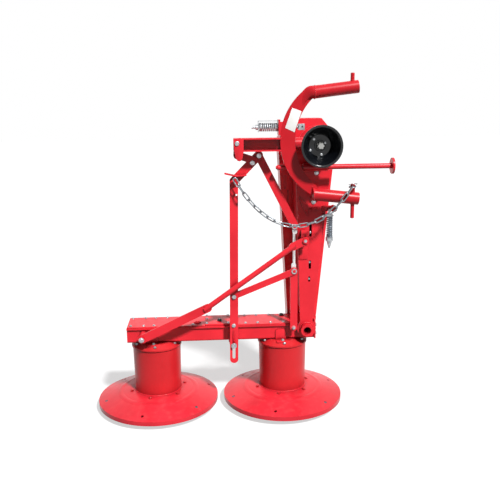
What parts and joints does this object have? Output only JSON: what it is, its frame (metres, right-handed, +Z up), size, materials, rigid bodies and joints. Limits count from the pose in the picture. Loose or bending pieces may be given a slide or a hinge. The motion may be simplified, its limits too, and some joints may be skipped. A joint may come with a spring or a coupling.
{
  "type": "two-drum rotary mower for a three-point hitch, standing on its drums",
  "caption": "Drum mower for a three-point hitch: cutter bar on knife drums, boom folded upright with drive cup, hitch arch, stand and stay.",
  "frame": {"origin": "foot of the inner drum axis, on the floor under the inner glide dish", "axes": "+X along the cutter bar from the outer drum to the boom, +Y away from the tractor, +Z up"},
  "size_m": [1.762, 0.74, 2.005],
  "materials": {
    "red_enamel": "glossy red enamel",
    "zinc_plated_steel": "bright zinc plating",
    "black_plastic": "glossy black moulded plastic",
    "bright_steel": "machined, lightly oiled"
  },
  "bodies": {
    "cutter_bar": {"gear_trough": "red_enamel", "gear_cover_outer": "red_enamel", "gear_cover_middle": "red_enamel", "gear_cover_inner": "red_enamel", "bar_end_plate": "red_enamel", "drum_cap_outer": "red_enamel", "drum_cap_inner": "red_enamel", "hinge_journal": "red_enamel", "slot_stud": "red_enamel", "stay_bolt": "red_enamel", "crank_stud": "red_enamel", "lift_crank": "red_enamel", "lift_strut": "red_enamel", "tie_rod": "zinc_plated_steel"},
    "drum_unit_inner": {"drum_inner": "red_enamel", "knife_disc_inner": "red_enamel", "knife_pins_inner": "zinc_plated_steel"},
    "drum_unit_outer": {"drum_outer": "red_enamel", "knife_disc_outer": "red_enamel", "knife_pins_outer": "zinc_plated_steel"},
    "dish_inner": {"glide_dish_inner": "red_enamel"},
    "dish_outer": {"glide_dish_outer": "red_enamel"},
    "boom": {"boom_plate": "red_enamel", "boom_beam": "red_enamel", "belt_guard": "red_enamel", "bearing_housing": "red_enamel", "pto_guard": "black_plastic", "swing_lug": "red_enamel", "stand_sleeve": "red_enamel", "stay_bracket": "red_enamel", "boom_spring": "zinc_plated_steel", "boom_spring_mount": "zinc_plated_steel"},
    "drive_shaft": {"input_shaft": "bright_steel"},
    "hitch_frame": {"hitch_arch": "red_enamel", "hitch_pin_upper": "red_enamel", "hitch_pin_lower": "red_enamel", "mast_channel": "red_enamel", "mast_gusset": "red_enamel", "lift_lever": "red_enamel", "pull_bar": "red_enamel", "linkage_pins": "zinc_plated_steel", "release_handle": "red_enamel", "latch_spring": "zinc_plated_steel", "latch_bracket": "red_enamel", "latch_bolt": "zinc_plated_steel", "lift_chain": "zinc_plated_steel", "swing_pin": "red_enamel"},
    "stand": {"stand_leg": "red_enamel"},
    "stay": {"transport_stay": "red_enamel", "stay_eye": "red_enamel"},
    "lift_bar": {"lift_rod": "red_enamel", "lift_rod_bolts": "zinc_plated_steel"}
  },
  "joints": [
    {"name": "drum_spin_inner", "type": "hinge", "parent": "cutter_bar", "child": "drum_unit_inner", "pos_m": [0, 0, 0.3], "axis": [0, 0, 1], "continuous": true},
    {"name": "drum_spin_outer", "type": "hinge", "parent": "cutter_bar", "child": "drum_unit_outer", "pos_m": [-0.78, 0, 0.3], "axis": [0, 0, 1], "continuous": true},
    {"name": "dish_spin_inner", "type": "hinge", "parent": "drum_unit_inner", "child": "dish_inner", "pos_m": [0, 0, 0.03], "axis": [0, 0, 1], "continuous": true},
    {"name": "dish_spin_outer", "type": "hinge", "parent": "drum_unit_outer", "child": "dish_outer", "pos_m": [-0.78, 0, 0.03], "axis": [0, 0, 1], "continuous": true},
    {"name": "boom_fold", "type": "hinge", "parent": "cutter_bar", "child": "boom", "pos_m": [0.137, 0, 0.508], "axis": [0, 1, 0], "range_deg": [0, 95]},
    {"name": "shaft_spin", "type": "hinge", "parent": "boom", "child": "drive_shaft", "pos_m": [0.184, -0.2, 1.616], "axis": [0, 1, 0], "continuous": true},
    {"name": "hitch_swing", "type": "hinge", "parent": "boom", "child": "hitch_frame", "pos_m": [0.09, -0.184, 1.627], "axis": [-1, 0, 0], "range_deg": [0, 40]},
    {"name": "stand_slide", "type": "slide", "parent": "boom", "child": "stand", "axis": [1, 0, 0], "range_m": [-0.25, 0]},
    {"name": "stay_fold", "type": "hinge", "parent": "cutter_bar", "child": "stay", "pos_m": [-0.851, -0.185, 0.4975], "axis": [0, 1, 0], "range_deg": [0, 30]},
    {"name": "lift_bar_tilt", "type": "hinge", "parent": "cutter_bar", "child": "lift_bar", "pos_m": [-0.307, -0.154, 0.43], "axis": [0, 1, 0], "range_deg": [-25, 25]}
  ],
  "couplings": [
    {"joint": "drum_spin_outer", "follows": "drum_spin_inner", "ratio": -1},
    {"joint": "shaft_spin", "follows": "drum_spin_inner", "ratio": 0.32}
  ]
}
